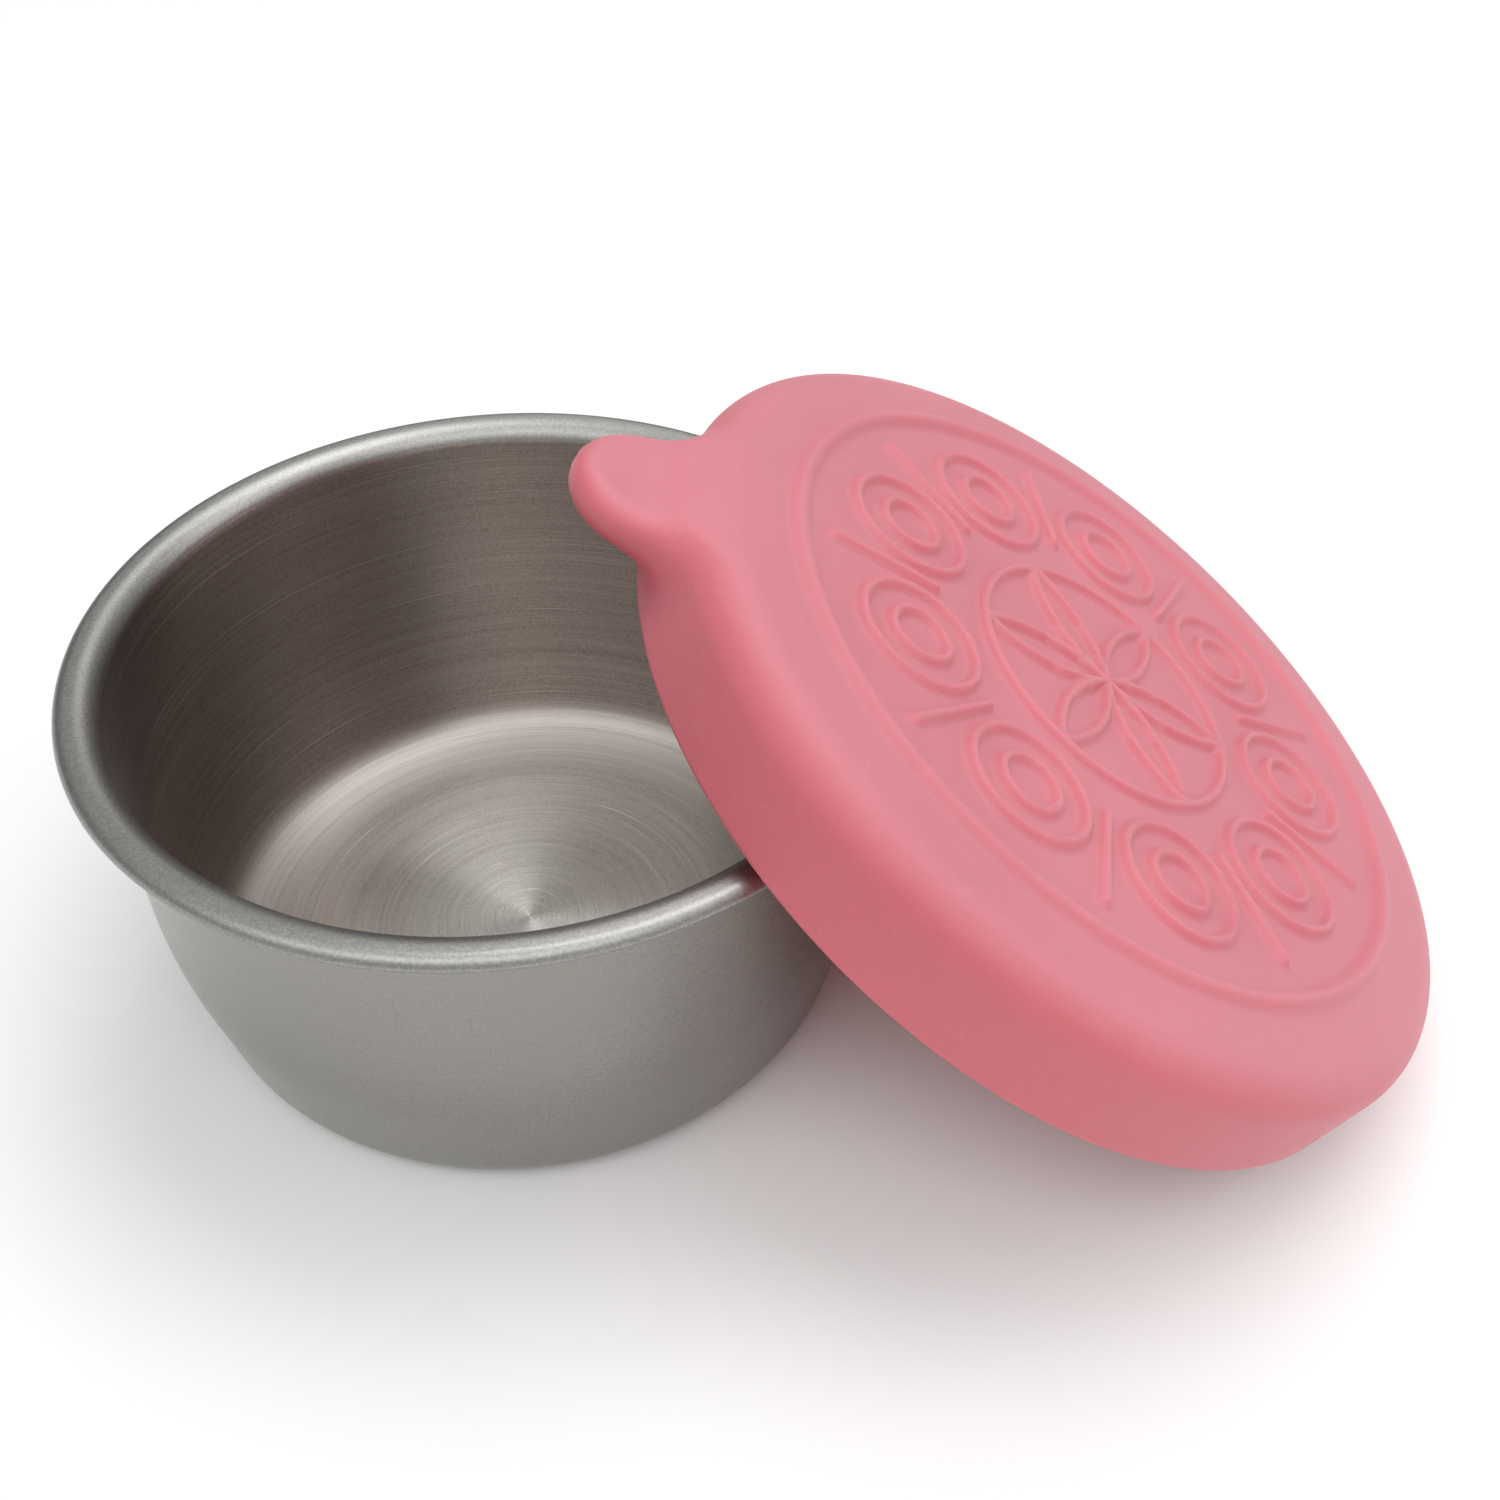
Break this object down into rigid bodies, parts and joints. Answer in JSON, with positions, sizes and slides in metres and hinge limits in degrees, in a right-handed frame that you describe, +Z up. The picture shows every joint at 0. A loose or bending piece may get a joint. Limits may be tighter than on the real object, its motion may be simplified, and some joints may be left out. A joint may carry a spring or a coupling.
{
  "type": "dappen dish",
  "caption": "Small round steel dish with a turned-out lip, and a soft silicone lid with a pull tab and relief ornament, off the dish and leaning on its rim.",
  "frame": {"origin": "centre of the dish's flat foot, on the surface it stands on", "axes": "+Z up out of the dish's mouth; +X towards the side on which the lid leans; -Y is the front"},
  "size_m": [0.1058, 0.0761, 0.0478],
  "materials": {
    "steel": "spun-brushed inside with circular lines, fine satin outside, brighter lip",
    "silicone": "matt moulded silicone, dusty pink"
  },
  "bodies": {
    "dish": {"dish": "steel"},
    "lid": {"lid": "silicone"}
  },
  "joints": [
    {"name": "lid_lift", "type": "slide", "parent": "dish", "child": "lid", "axis": [0, 0, 1], "range_m": [0, 0.06]}
  ]
}
